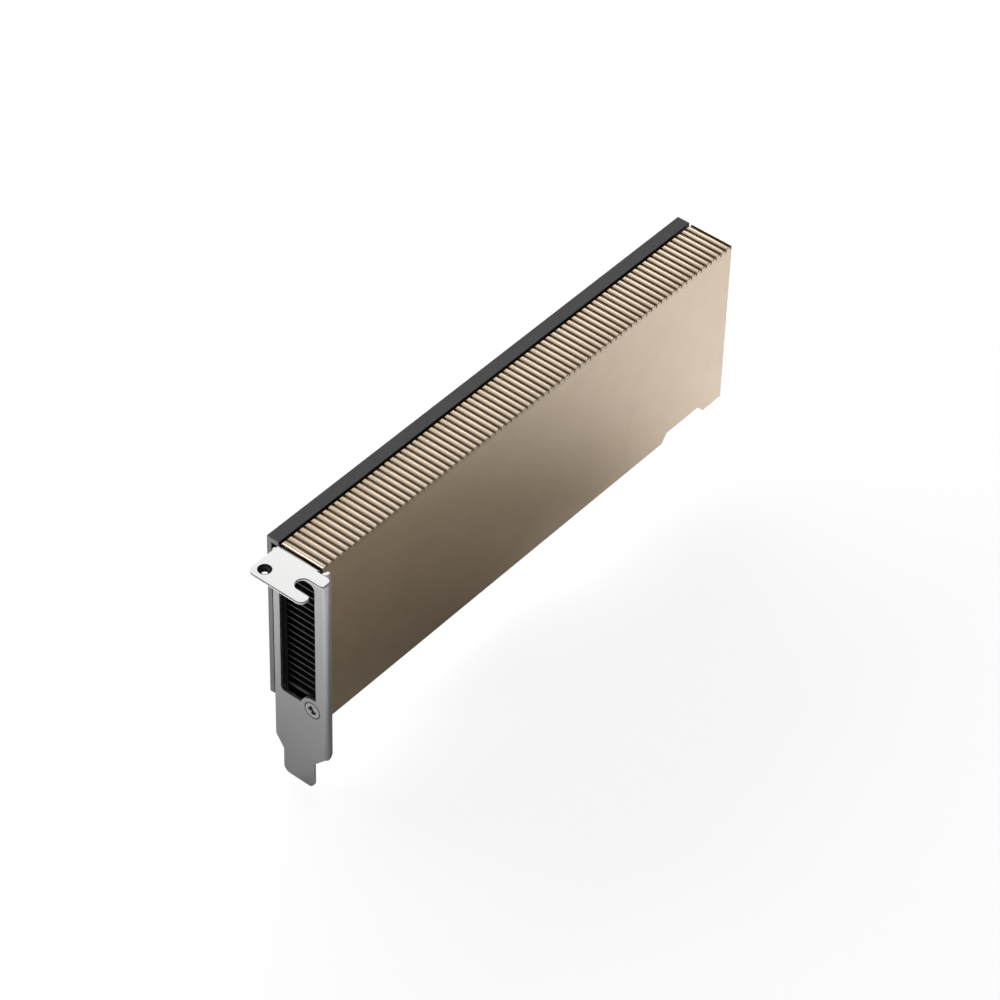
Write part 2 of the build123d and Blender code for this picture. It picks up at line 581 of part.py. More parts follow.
def heatsink():
    """Base and long thin fins in one piece, between a top and a bottom rail."""
    x0, x1 = SINK_X0, SINK_X1
    tip = COVER_INNER_Y + SINK_TO_COVER
    body = block(x0, x1, SINK_ROOT_Y, SINK_BACK_Y, SINK_BOTTOM, SINK_TOP)
    body += block(x0, x1, tip, SINK_ROOT_Y, SINK_TOP - SINK_RAIL, SINK_TOP)
    body += block(x0, x1, tip, SINK_ROOT_Y, SINK_BOTTOM, SINK_BOTTOM + SINK_RAIL)
    for z in fin_heights():
        body += block(x0, x1, tip, SINK_ROOT_Y, z - FIN_THICKNESS / 2, z + FIN_THICKNESS / 2)
    body -= block(x0 - 1, x0 + BASE_SETBACK, SINK_ROOT_Y + FIN_NEAR_DEPTH, SINK_BACK_Y + 1, SINK_BOTTOM, SINK_TOP)
    body -= spaces_between_fins(x0, x0 + BASE_SETBACK)
    for x, z in CLAMP_SPOTS:
        body += disc_y(x, z, CLAMP_POST_RADIUS, SINK_BACK_Y, BOARD_FRONT_Y)
        body -= disc_y(x, z, SCREW_RADIUS + THREAD_GAP, SINK_ROOT_Y + BLIND_END, BOARD_FRONT_Y)
    clear = BOSS_RADIUS + BOSS_CLEARANCE
    for x, z in TOP_BOSSES:
        root = BOARD_FRONT_Y - TOP_BOSS_LENGTH - BOSS_CLEARANCE
        body -= disc_y(x, z, clear, root, BOARD_FRONT_Y)
        body -= block(x - clear, x + clear, root, BOARD_FRONT_Y, z, 0)
    reach = PHASE_PITCH * (PHASES - 1) + INDUCTOR_HEIGHT + 2 * INDUCTOR_POCKET
    return body - slab(FACE_X + INDUCTOR_X, PROCESSOR_Z, INDUCTOR_LENGTH + 2 * INDUCTOR_POCKET, reach,
                       SINK_ROOT_Y, SINK_BACK_Y)


def circuit_board():
    """Board with its edge tongue, key notch, bevelled edge and screw holes."""
    x0, x1 = FACE_X + BOARD_NEAR, COVER_X1 - BOARD_FAR_GAP
    shoulder = EDGE_DEPTH - CARD_HEIGHT
    key_x = FACE_X + KEY_CENTRE
    edge_x0, edge_x1 = key_x - EDGE_BEFORE_KEY, key_x + EDGE_AFTER_KEY
    face = outline(
        (x0, BOARD_TOP, 1.0), (x0, shoulder, 1.0), (edge_x0, shoulder, 0.5), (edge_x0, -CARD_HEIGHT, 0.5),
        (edge_x1, -CARD_HEIGHT, 0.5), (edge_x1, shoulder, 0.5), (x1, shoulder, 1.0), (x1, BOARD_TOP, 1.0))
    key_top = shoulder - KEY_WIDTH / 2
    face -= Pos(key_x, (key_top - CARD_HEIGHT) / 2) * Rectangle(KEY_WIDTH, key_top + CARD_HEIGHT)
    face -= Pos(key_x, key_top) * Circle(KEY_WIDTH / 2)
    for x, z in BOSS_SPOTS + CLAMP_SPOTS:
        face -= Pos(x, z) * Circle(SCREW_RADIUS + HOLE_GAP)
    board = along_y(face, BOARD_FRONT_Y, BOARD_BACK_Y)
    for y, inwards in ((BOARD_FRONT_Y, 1), (BOARD_BACK_Y, -1)):
        bevel = Polyline((y, -CARD_HEIGHT + EDGE_CHAMFER_HEIGHT), (y, -CARD_HEIGHT),
                         (y + inwards * EDGE_CHAMFER_DEPTH, -CARD_HEIGHT), close=True)
        board -= along_x(make_face(bevel), edge_x0 - 1, edge_x1 + 1)
    return board


def edge_contacts():
    """Plated contacts on both faces of the edge tongue."""
    key_x = FACE_X + KEY_CENTRE
    centres = [key_x - CONTACT_TO_KEY - CONTACT_PITCH * step for step in range(CONTACTS_BEFORE_KEY)]
    centres += [key_x + CONTACT_TO_KEY + CONTACT_PITCH * step for step in range(CONTACTS_AFTER_KEY)]
    z = -CARD_HEIGHT + EDGE_CHAMFER_HEIGHT + CONTACT_HEIGHT / 2
    pads = []
    for x in centres:
        pads.append(slab(x, z, CONTACT_WIDTH, CONTACT_HEIGHT, BOARD_FRONT_Y - CONTACT_THICKNESS, BOARD_FRONT_Y))
        pads.append(slab(x, z, CONTACT_WIDTH, CONTACT_HEIGHT, BOARD_BACK_Y, BOARD_BACK_Y + CONTACT_THICKNESS))
    return group(pads)


def back_plate():
    """L-section plate: its short leg is the dark bar along the card's top."""
    body = block(BACK_X0, COVER_X1, BACK_INNER_Y, BACK_OUTER_Y, BACK_BOTTOM, 0)
    body += block(BACK_X0, COVER_X1, BOARD_FRONT_Y + SEAM_GAP, BACK_OUTER_Y, -BACK_PLATE, 0)
    for x, z in BOSS_SPOTS:
        body -= facing_back(sunk_cone(HEAD_GAP, COVER_HEAD_DEPTH), x, BACK_OUTER_Y, z)
        body -= disc_y(x, z, SCREW_RADIUS + HEAD_GAP, BACK_INNER_Y - 0.1, BACK_OUTER_Y)
    for x, z in CLAMP_SPOTS:
        body -= disc_y(x, z, CLAMP_HEAD_RADIUS + 3 * HOLE_GAP, BACK_INNER_Y, BACK_OUTER_Y)
    return body


def insulator_sheet():
    """Thin film between the board's back and the back plate."""
    length = COVER_X1 - BACK_X0 - 2 * INSULATOR_MARGIN
    top, bottom = -BACK_PLATE - INSULATOR_TOP_MARGIN, BACK_BOTTOM + INSULATOR_TOP_MARGIN
    centre = Pos((BACK_X0 + COVER_X1) / 2, (top + bottom) / 2)
    face = centre * RectangleRounded(length, top - bottom, INSULATOR_CORNER)
    for x, z in BOSS_SPOTS:
        face -= Pos(x, z) * Circle(SPACER_RADIUS + HOLE_GAP)
    for x, z in CLAMP_SPOTS:
        face -= Pos(x, z) * Circle(CLAMP_HEAD_RADIUS + 3 * HOLE_GAP)
    return along_y(face, BACK_INNER_Y - INSULATOR, BACK_INNER_Y)


def board_spacers():
    """Rings between the board's back and the back plate, one round each cover screw."""
    ring = Circle(SPACER_RADIUS) - Circle(SCREW_RADIUS + HOLE_GAP)
    return group([along_y(Pos(x, z) * ring, BOARD_BACK_Y, BACK_INNER_Y) for x, z in BOSS_SPOTS])


def cover_screws():
    """Countersunk screws from the back plate into the cover's bosses."""
    screw = flat_screw(COVER_HEAD_DEPTH, BACK_DEPTH + COVER_SCREW_GRIP)
    return group([facing_back(screw, x, BACK_OUTER_Y, z) for x, z in BOSS_SPOTS])


def clamp_spring():
    """Cross-shaped leaf behind the processor, with an open ring and four eyes."""
    centre = Pos(FACE_X + PROCESSOR_X, PROCESSOR_Z)
    turn = math.degrees(math.atan2(CLAMP_HALF_Z, CLAMP_HALF_X))
    span = 2 * math.hypot(CLAMP_HALF_X, CLAMP_HALF_Z)
    face = centre * (Circle(CLAMP_RING) + Rot(0, 0, turn) * Rectangle(span, CLAMP_ARM)
                     + Rot(0, 0, -turn) * Rectangle(span, CLAMP_ARM))
    for x, z in CLAMP_SPOTS:
        face += Pos(x, z) * Circle(CLAMP_EYE)
    for x, z in CLAMP_SPOTS:
        face -= Pos(x, z) * Circle(SCREW_RADIUS + HOLE_GAP)
    face -= centre * Circle(CLAMP_OPENING)
    return along_y(face, BOARD_BACK_Y, BOARD_BACK_Y + CLAMP_SHEET)


def clamp_screws():
    """Screws that pull the heat sink onto the processor."""
    seat = BOARD_BACK_Y + CLAMP_SHEET
    length = seat - SINK_ROOT_Y - 2 * BLIND_END
    screw = pan_screw(CLAMP_HEAD_DEPTH, length)
    return group([facing_back(screw, x, seat, z) for x, z in CLAMP_SPOTS])


def on_board(spots, length, height, thickness):
    """Flat packages soldered on the component side, one at each (x from the bracket, z)."""
    return group([slab(FACE_X + x, z, length, height, BOARD_FRONT_Y - thickness, BOARD_FRONT_Y) for x, z in spots])


def one_on_board(size):
    """One package from its named place and size."""
    x, z, length, height, thickness = size
    return on_board([(x, z)], length, height, thickness)


def on_packages(spots, length, height, thickness):
    """Soft pads that fill the space between packages and the heat sink's base."""
    return group([slab(FACE_X + x, z, length, height, SINK_BACK_Y, BOARD_FRONT_Y - thickness) for x, z in spots])


MEMORY_SPOTS = [(PROCESSOR_X + dx, PROCESSOR_Z + dz) for dx in MEMORY_OFFSETS_X for dz in MEMORY_OFFSETS_Z]
PHASE_HEIGHTS = [PROCESSOR_Z + PHASE_PITCH * (step - (PHASES - 1) / 2) for step in range(PHASES)]
SUBSTRATE_FRONT_Y = BOARD_FRONT_Y - SUBSTRATE_THICKNESS


def processor_parts():
    """Package, stiffener frame, die, paste and the small capacitors round the die."""
    x, z = FACE_X + PROCESSOR_X, PROCESSOR_Z
    die_front = SUBSTRATE_FRONT_Y - DIE_THICKNESS
    frame = slab(x, z, SUBSTRATE_SIDE - 1, SUBSTRATE_SIDE - 1, SUBSTRATE_FRONT_Y - FRAME_THICKNESS, SUBSTRATE_FRONT_Y)
    frame -= slab(x, z, FRAME_OPENING, FRAME_OPENING, SUBSTRATE_FRONT_Y - FRAME_THICKNESS, SUBSTRATE_FRONT_Y)
    length, height, thickness = DIE_CAPACITOR
    small = [slab(x + side * (DIE_LENGTH / 2 + DIE_CAPACITOR_GAP), z + DIE_CAPACITOR_PITCH * step, length, height,
                  SUBSTRATE_FRONT_Y - thickness, SUBSTRATE_FRONT_Y)
             for side in (-1, 1) for step in range(-3, 4)]
    return {
        "processor_package": slab(x, z, SUBSTRATE_SIDE, SUBSTRATE_SIDE, SUBSTRATE_FRONT_Y, BOARD_FRONT_Y),
        "package_frame": frame,
        "processor_die": slab(x, z, DIE_LENGTH, DIE_HEIGHT, die_front, SUBSTRATE_FRONT_Y),
        "thermal_paste": slab(x, z, DIE_LENGTH - PASTE_INSET, DIE_HEIGHT - PASTE_INSET, SINK_BACK_Y, die_front),
        "package_capacitors": group(small),
    }


def memory_parts():
    """Memory chips round the processor and the pads on them."""
    return {
        "memory_chips": on_board(MEMORY_SPOTS, MEMORY_LENGTH, MEMORY_HEIGHT, MEMORY_THICKNESS),
        "memory_pads": on_packages(MEMORY_SPOTS, MEMORY_LENGTH - PAD_INSET, MEMORY_HEIGHT - PAD_INSET,
                                   MEMORY_THICKNESS),
    }


def power_parts():
    """Power stages, their pad, inductors, bulk capacitors and the input fuse."""
    column = PHASE_PITCH * (PHASES - 1) + STAGE_HEIGHT
    choke = Box(INDUCTOR_LENGTH, INDUCTOR_THICKNESS, INDUCTOR_HEIGHT)
    choke = chamfer(choke.edges().filter_by(Axis.Y), INDUCTOR_EDGE)
    middle = BOARD_FRONT_Y - INDUCTOR_THICKNESS / 2
    return {
        "power_stages": on_board([(STAGE_X, z) for z in PHASE_HEIGHTS], STAGE_LENGTH, STAGE_HEIGHT, STAGE_THICKNESS),
        "power_stage_pad": on_packages([(STAGE_X, PROCESSOR_Z)], STAGE_LENGTH, column, STAGE_THICKNESS),
        "inductors": group([Pos(FACE_X + INDUCTOR_X, middle, z) * choke for z in PHASE_HEIGHTS]),
        "bulk_capacitors": on_board([(CAPACITOR_X, z) for z in PHASE_HEIGHTS], CAPACITOR_LENGTH,
                                    CAPACITOR_HEIGHT, CAPACITOR_THICKNESS),
        "input_fuse": one_on_board(INPUT_FUSE),
    }


def small_parts():
    """Controller, firmware memory, monitor chip, clock crystal and the back's capacitors."""
    x = FACE_X + PROCESSOR_X
    pitch_x, pitch_z = BACK_CAPACITOR_PITCH_X, BACK_CAPACITOR_PITCH_Z
    back = [(x + pitch_x * column, PROCESSOR_Z + pitch_z * row) for column in (-1, 0, 1) for row in (-1, 0, 1)]
    back += [(x + side * BACK_CAPACITOR_SIDE_X, PROCESSOR_Z + pitch_z * row) for side in (-1, 1)
             for row in range(-2, 3)]
    length, height, thickness = BACK_CAPACITOR
    return {
        "power_controller": one_on_board(POWER_CONTROLLER),
        "firmware_chip": one_on_board(FIRMWARE_CHIP),
        "monitor_chip": one_on_board(MONITOR_CHIP),
        "clock_crystal": one_on_board(CLOCK_CRYSTAL),
        "back_capacitors": group([slab(px, pz, length, height, BOARD_BACK_Y, BOARD_BACK_Y + thickness)
                                  for px, pz in back]),
    }


parts = {
    "front_cover": front_cover(),
    "heatsink": heatsink(),
    "back_plate": back_plate(),
    "insulator_sheet": insulator_sheet(),
    "circuit_board": circuit_board(),
    "edge_contacts": edge_contacts(),
    "bracket": bracket(),
    "tab_bush": tab_bush(),
    "bracket_screws": bracket_screws(),
    "cover_screws": cover_screws(),
    "board_spacers": board_spacers(),
    "clamp_spring": clamp_spring(),
    "clamp_screws": clamp_screws(),
}
parts.update(processor_parts())
parts.update(memory_parts())
parts.update(power_parts())
parts.update(small_parts())

os.makedirs("parts", exist_ok=True)
for name, solid in parts.items():
    export_step(solid, f"parts/{name}.step")
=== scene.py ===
"""Studio scene of a low-profile passive accelerator card.

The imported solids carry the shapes. This script softens their edges, adds the fine pieces that the
solids leave out, gives every piece its finish, and sets up the floor, the lamps and the camera.
"""

from __future__ import annotations

import json
import logging
import math
from dataclasses import dataclass
from enum import Enum
from functools import reduce
from typing import Any

import bmesh
import bpy
from mathutils import Matrix, Vector

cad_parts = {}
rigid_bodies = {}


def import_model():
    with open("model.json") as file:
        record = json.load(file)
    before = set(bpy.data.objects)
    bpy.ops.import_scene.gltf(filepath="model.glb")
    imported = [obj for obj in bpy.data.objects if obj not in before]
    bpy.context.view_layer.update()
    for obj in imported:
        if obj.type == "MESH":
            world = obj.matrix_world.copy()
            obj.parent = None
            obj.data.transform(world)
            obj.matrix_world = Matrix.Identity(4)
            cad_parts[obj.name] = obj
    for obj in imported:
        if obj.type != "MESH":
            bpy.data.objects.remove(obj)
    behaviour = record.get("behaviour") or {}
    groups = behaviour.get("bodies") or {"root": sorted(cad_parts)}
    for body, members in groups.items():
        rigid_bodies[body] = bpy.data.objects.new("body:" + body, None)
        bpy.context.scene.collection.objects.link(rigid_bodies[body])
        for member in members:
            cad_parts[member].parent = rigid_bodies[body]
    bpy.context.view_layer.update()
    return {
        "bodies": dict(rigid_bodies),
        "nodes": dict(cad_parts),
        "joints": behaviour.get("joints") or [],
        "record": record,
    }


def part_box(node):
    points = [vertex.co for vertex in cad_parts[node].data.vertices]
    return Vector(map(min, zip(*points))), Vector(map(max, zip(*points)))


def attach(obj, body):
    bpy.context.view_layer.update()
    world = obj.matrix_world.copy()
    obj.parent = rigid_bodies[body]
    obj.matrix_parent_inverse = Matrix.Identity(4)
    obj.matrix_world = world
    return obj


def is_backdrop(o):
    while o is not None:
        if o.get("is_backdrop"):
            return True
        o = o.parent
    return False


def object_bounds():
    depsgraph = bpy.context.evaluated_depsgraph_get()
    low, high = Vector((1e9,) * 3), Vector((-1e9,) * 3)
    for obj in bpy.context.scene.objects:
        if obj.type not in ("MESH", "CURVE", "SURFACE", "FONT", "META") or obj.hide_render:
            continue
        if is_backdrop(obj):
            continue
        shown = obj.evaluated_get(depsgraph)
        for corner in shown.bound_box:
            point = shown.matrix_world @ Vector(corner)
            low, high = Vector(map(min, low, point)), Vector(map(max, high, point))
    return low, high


LOG = logging.getLogger("card")
MM = 0.001
NOISE_MIDDLE = 0.5
WHITE = (1.0, 1.0, 1.0, 1.0)
BODY = "root"
Colour = tuple[float, float, float]
Span = tuple[float, float]


class Socket:
    """A value in a node tree that Python's operators work on."""

    def __init__(self, tree: "NodeTree", link: bpy.types.NodeSocket) -> None:
        """Keep the tree and the output socket."""
        self.tree = tree
        self.link = link

    def __add__(self, other: Any) -> "Socket":
        """Return self plus other."""
        return self.tree.math("ADD", self, other)

    __radd__ = __add__

    def __sub__(self, other: Any) -> "Socket":
        """Return self minus other."""
        return self.tree.math("SUBTRACT", self, other)

    def __rsub__(self, other: Any) -> "Socket":
        """Return other minus self."""
        return self.tree.math("SUBTRACT", other, self)

    def __mul__(self, other: Any) -> "Socket":
        """Return self times other."""
        return self.tree.math("MULTIPLY", self, other)

    __rmul__ = __mul__

    def __truediv__(self, other: Any) -> "Socket":
        """Return self over other."""
        return self.tree.math("DIVIDE", self, other)

    def __neg__(self) -> "Socket":
        """Return minus self."""
        return self.tree.math("MULTIPLY", self, -1.0)

    def clamp(self) -> "Socket":
        """Return self kept between 0 and 1."""
        return self.tree.math("ADD", self, 0.0, use_clamp=True)

    def largest(self, other: Any) -> "Socket":
        """Return the larger of self and other."""
        return self.tree.math("MAXIMUM", self, other)

    def power(self, exponent: float) -> "Socket":
        """Return self to a power."""
        return self.tree.math("POWER", self, exponent)

    def magnitude(self) -> "Socket":
        """Return self without its sign."""
        return self.tree.math("ABSOLUTE", self)

    def rise(self, low: float, high: float) -> "Socket":
        """Return 0 below low, 1 above high and a straight ramp between."""
        return ((self - low) / (high - low)).clamp()


class NodeTree:
    """Builder for one material's or the world's nodes.

    A Mix node's colour sockets share their names with its other sockets, so they go by number.
    """

    MIX_FIRST = 6
    MIX_SECOND = 7
    MIX_RESULT = 2

    def __init__(self, owner: bpy.types.Material | bpy.types.World) -> None:
        """Empty the owner's tree.

        Args:
            owner: The material or the world that the nodes belong to.
        """
        owner.use_nodes = True
        self.nodes = owner.node_tree.nodes
        self.links = owner.node_tree.links
        self.nodes.clear()

    def node(self, kind: str, settings: dict[str, Any] | None = None,
             inputs: dict[str | int, Any] | None = None) -> bpy.types.Node:
        """Add a node.

        Args:
            kind: The node's type name.
            settings: Its properties, set first.
            inputs: Values or links of its sockets, by name or index.

        Returns:
            The new node.
        """
        made = self.nodes.new(kind)
        for name, value in (settings or {}).items():
            setattr(made, name, value)
        for name, value in (inputs or {}).items():
            if isinstance(value, Socket):
                self.links.new(value.link, made.inputs[name])
            elif isinstance(value, bpy.types.NodeSocket):
                self.links.new(value, made.inputs[name])
            else:
                made.inputs[name].default_value = value
        return made

    def math(self, operation: str, *values: Any, use_clamp: bool = False) -> Socket:
        """Return the result of a Math node on sockets or numbers."""
        made = self.node("ShaderNodeMath", {"operation": operation, "use_clamp": use_clamp},
                         dict(enumerate(values)))
        return Socket(self, made.outputs[0])

    def vector_math(self, operation: str, first: Any, second: Any) -> Socket:
        """Return the number that a Vector Math node makes of two vectors."""
        made = self.node("ShaderNodeVectorMath", {"operation": operation}, {0: first, 1: second})
        return Socket(self, made.outputs["Value"])

    def place(self, scale: Colour = (1.0, 1.0, 1.0)) -> bpy.types.NodeSocket:
        """Read the object's own coordinates.

        Args:
            scale: Factor along each axis.

        Returns:
            The coordinates in millimetres, times the scale.
        """
        source = self.node("ShaderNodeTexCoord").outputs["Object"]
        size = tuple(part / MM for part in scale)
        return self.node("ShaderNodeMapping", None, {"Vector": source, "Scale": size}).outputs["Vector"]

    def noise(self, across: float, stretch: Colour = (1.0, 1.0, 1.0), detail: float = 2.0,
              harshness: float = 0.55) -> Socket:
        """Make noise of a real size.

        Args:
            across: Width of its grains, in millimetres.
            stretch: How many times longer a grain is along each axis.
            detail: Number of finer layers.
            harshness: Strength of each finer layer beside the one before.

        Returns:
            A value from 0 to 1.
        """
        scale = tuple(1 / (across * part) for part in stretch)
        made = self.node("ShaderNodeTexNoise", None, {
            "Vector": self.place(scale), "Scale": 1.0, "Detail": detail, "Roughness": harshness})
        return Socket(self, made.outputs["Fac"])

    def axis(self, name: str) -> Socket:
        """Return one of the object's own coordinates, in millimetres."""
        made = self.node("ShaderNodeSeparateXYZ", None, {"Vector": self.place()})
        return Socket(self, made.outputs[name])

    def facing(self, name: str) -> Socket:
        """Return one component of the surface's own direction."""
        made = self.node("ShaderNodeSeparateXYZ", None,
                         {"Vector": self.node("ShaderNodeTexCoord").outputs["Normal"]})
        return Socket(self, made.outputs[name])

    def blend(self, factor: Any, first: Any, second: Any) -> bpy.types.NodeSocket:
        """Mix two colours.

        Args:
            factor: 0 for the first colour and 1 for the second.
            first: A colour or a colour socket.
            second: A colour or a colour socket.

        Returns:
            A colour socket.
        """
        made = self.node("ShaderNodeMix", {"data_type": "RGBA"}, {
            "Factor": factor,
            self.MIX_FIRST: first if isinstance(first, bpy.types.NodeSocket) else (*first, 1.0),
            self.MIX_SECOND: second if isinstance(second, bpy.types.NodeSocket) else (*second, 1.0)})
        return made.outputs[self.MIX_RESULT]

    def bump(self, height: Socket, depth: float) -> bpy.types.NodeSocket:
        """Return a surface direction roughened by a height, at a depth in millimetres."""
        made = self.node("ShaderNodeBump", None, {"Height": height, "Distance": depth * MM, "Strength": 1.0})
        return made.outputs["Normal"]


class Grain(Enum):
    """How a finish's fine texture runs."""

    EVEN = (1.0, 1.0, 1.0)
    ALONG_X = (30.0, 1.0, 1.0)


@dataclass(frozen=True)
class Finish:
    """A plain finish: one colour with fine grain and slow mottling.

    Attributes:
        name: The material's name.
        colour: Linear base colour.
        metallic: 1 for uncoated or anodised metal, 0 for paint, plastic and ceramic.
        roughness: Middle roughness.
        grain: How the fine texture runs.
        grain_size: Width of a grain, in millimetres.
        grain_depth: Height of the grain, in millimetres.
        mottle: Share by which the colour varies over millimetres.
        rough_swing: How far roughness varies with the grain.
        coat: Weight of a clear layer.
        coat_roughness: Roughness of that layer.
        coat_index: Refractive index of that layer.
        specular: Level of the plain reflection of paint, plastic and ceramic.
        patch: Width of the slow mottling's patches, in millimetres.
        patch_detail: Number of finer layers in those patches.
    """

    name: str
    colour: Colour
    metallic: float = 0.0
    roughness: float = 0.5
    grain: Grain = Grain.EVEN
    grain_size: float = 0.25
    grain_depth: float = 0.004
    mottle: float = 0.06
    rough_swing: float = 0.06
    coat: float = 0.0
    coat_roughness: float = 0.3
    coat_index: float = 1.5
    specular: float = 0.5
    patch: float = 9.0
    patch_detail: float = 3.0

    def colour_socket(self, tree: NodeTree, grain: Socket) -> bpy.types.NodeSocket:
        """Return the base colour, slowly mottled and speckled with the grain.

        Args:
            tree: The material's nodes.
            grain: The fine texture, 0 to 1.

        Returns:
            A colour socket.
        """
        slow = tree.noise(self.patch, detail=self.patch_detail)
        pale = tuple(min(part * (1 + self.mottle), 1.0) for part in self.colour)
        deep = tuple(part * (1 - self.mottle) for part in self.colour)
        return tree.blend((slow + grain - NOISE_MIDDLE).clamp(), deep, pale)

    def roughness_socket(self, tree: NodeTree, grain: Socket) -> Socket:
        """Return the roughness, which follows the grain."""
        return (self.roughness + (grain - NOISE_MIDDLE) * self.rough_swing).clamp()

    def material(self) -> bpy.types.Material:
        """Build the material.

        Returns:
            The new material.
        """
        made = bpy.data.materials.new(self.name)
        tree = NodeTree(made)
        grain = tree.noise(self.grain_size, self.grain.value)
        shader = tree.node("ShaderNodeBsdfPrincipled", None, {
            "Base Color": self.colour_socket(tree, grain),
            "Metallic": self.metallic,
            "Roughness": self.roughness_socket(tree, grain),
            "Coat Weight": self.coat,
            "Coat Roughness": self.coat_roughness,
            "Coat IOR": self.coat_index,
            "Specular IOR Level": self.specular,
            "Normal": tree.bump(grain, self.grain_depth)})
        tree.node("ShaderNodeOutputMaterial", None, {"Surface": shader.outputs[0]})
        return made


@dataclass(frozen=True)
class PaleEndPlateFinish(Finish):
    """The back plate's dark coat, paler on its ends, the faces that look along X.

    Attributes:
        end_colour: Linear colour of the paler ends.
        end_tilt: Shares of X in a face's direction from which it starts to be, and is, a paler end.
        speck: Levels of the grain between which a speck turns paler.
        speck_share: How much of the paler colour it then has.
        speck_gain: Brightness of that colour beside the coat's.
    """

    end_colour: Colour = (0.3, 0.3, 0.3)
    end_tilt: Span = (0.8, 0.9)
    speck: Span = (0.5, 0.66)
    speck_share: float = 0.75
    speck_gain: float = 1.9

    def colour_socket(self, tree: NodeTree, grain: Socket) -> bpy.types.NodeSocket:
        """Return the coat's colour with speckles, and a paler colour on faces that look along X.

        Args:
            tree: The material's nodes.
            grain: The fine texture, 0 to 1.

        Returns:
            A colour socket.
        """
        ends = tree.facing("X").magnitude().rise(*self.end_tilt)
        speck = grain.rise(*self.speck) * self.speck_share
        pale = tuple(part * self.speck_gain for part in self.colour)
        coat = tree.blend(speck, super().colour_socket(tree, grain), pale)
        return tree.blend(ends, coat, self.end_colour)


@dataclass(frozen=True)
class CoverFinish(Finish):
    """The cover's anodised coat: a dark seam near one end, and painted shade in the grooves and on the
    ledge.

    Attributes:
        up_tilt: Shares of Z in a face's direction from which it starts to look up, and does.
        seam: X of the seam.
        seam_reach: Distances from there at which the seam starts to fade and has gone.
        ledge_depth: Depths between which faces that look up get painted shade on the inner ledge.
        groove_depth: Depths at which the painted shade in a groove starts and is darkest.
        groove_end: Depths, under the grooves' floors, between which that painted shade ends.
        groove_share: Share of the coat's colour that the seam and the grooves' painted shade take away.
        tips: Y between which the grooves' painted shade starts, behind the ribs' front tips.
        seam_and_shade_colour: Linear colour of the seam and of the painted shade in the grooves and on the
            ledge.
    """

    up_tilt: Span = (0.5, 0.7)
    seam: float = 8.65
    seam_reach: Span = (0.05, 0.1)
    ledge_depth: Span = (40.0, 40.5)
    groove_depth: Span = (0.25, 0.55)
    groove_end: Span = (1.5, 2.0)
    groove_share: float = 0.75
    tips: Span = (0.6, 1.6)
    seam_and_shade_colour: Colour = (0.02, 0.014, 0.008)

    def colour_socket(self, tree: NodeTree, grain: Socket) -> bpy.types.NodeSocket:
        """Return the coat's colour, dark on the seam, with painted shade in the grooves and on the ledge.

        Args:
            tree: The material's nodes.
            grain: The fine texture, 0 to 1.

        Returns:
            A colour socket.
        """
        up = tree.facing("Z").rise(*self.up_tilt)
        depth = -tree.axis("Z")
        off = (tree.axis("X") - self.seam).magnitude()
        seam = (1 - off.rise(*self.seam_reach)) * up * self.groove_share
        behind = tree.axis("Y").rise(*self.tips)
        # Painted shade in the grooves and on the inner ledge, where shade falls; the seam is a dark line.
        groove = depth.rise(*self.groove_depth) * (1 - depth.rise(*self.groove_end)) * behind
        ledge = up * depth.rise(*self.ledge_depth)
        dark = seam.largest(ledge).largest(groove * self.groove_share)
        return tree.blend(dark, super().colour_socket(tree, grain), self.seam_and_shade_colour)


@dataclass(frozen=True)
class SheetFinish(Finish):
    """The bracket's plated sheet; the tab's side edge gets a painted highlight under a painted shade line.

    Attributes:
        side_tilt: Shares of Z in a face's direction at which it starts to be, and is, no side face.
        edge: Heights between which side faces turn into the tab's edge.
        line: Heights between which that edge turns from the painted highlight to the painted shade line.
        fold: X between which the tab's edge ends, before the fold.
        edge_highlight: Linear colour of the painted highlight on the tab's edge.
        dark: Linear colour of the painted shade line.
    """

    side_tilt: Span = (0.15, 0.35)
    edge: Span = (-0.3, -0.25)
    line: Span = (0.4, 0.45)
    fold: Span = (2.5, 3.0)
    edge_highlight: Colour = (0.85, 0.85, 0.84)
    dark: Colour = (0.22, 0.22, 0.22)

    def colour_socket(self, tree: NodeTree, grain: Socket) -> bpy.types.NodeSocket:
        """Return the sheet's colour, with the painted highlight and shade line on the tab's edge.

        Args:
            tree: The material's nodes.
            grain: The fine texture, 0 to 1.

        Returns:
            A colour socket.
        """
        side = 1 - tree.facing("Z").magnitude().rise(*self.side_tilt)
        height = tree.axis("Z")
        # Painted highlight low on the tab's side edge and a painted shade line above it.
        edge = tree.blend(height.rise(*self.line), self.edge_highlight, self.dark)
        outer = side * height.rise(*self.edge) * (1 - tree.axis("X").rise(*self.fold))
        return tree.blend(outer, super().colour_socket(tree, grain), edge)


@dataclass(frozen=True)
class SinkFinish(Finish):
    """Fins that go black towards the board, where no light reaches their ends.

    Attributes:
        shade: Y up to which an end keeps its colour, and from which it is black.
        black: Linear colour in the full shade.
    """

    shade: Span = (9.0, 12.6)
    black: Colour = (0.004, 0.004, 0.004)

    def colour_socket(self, tree: NodeTree, grain: Socket) -> bpy.types.NodeSocket:
        """Return the metal's colour, darkened towards the board."""
        depth = tree.axis("Y").rise(*self.shade)
        return tree.blend(depth, super().colour_socket(tree, grain), self.black)


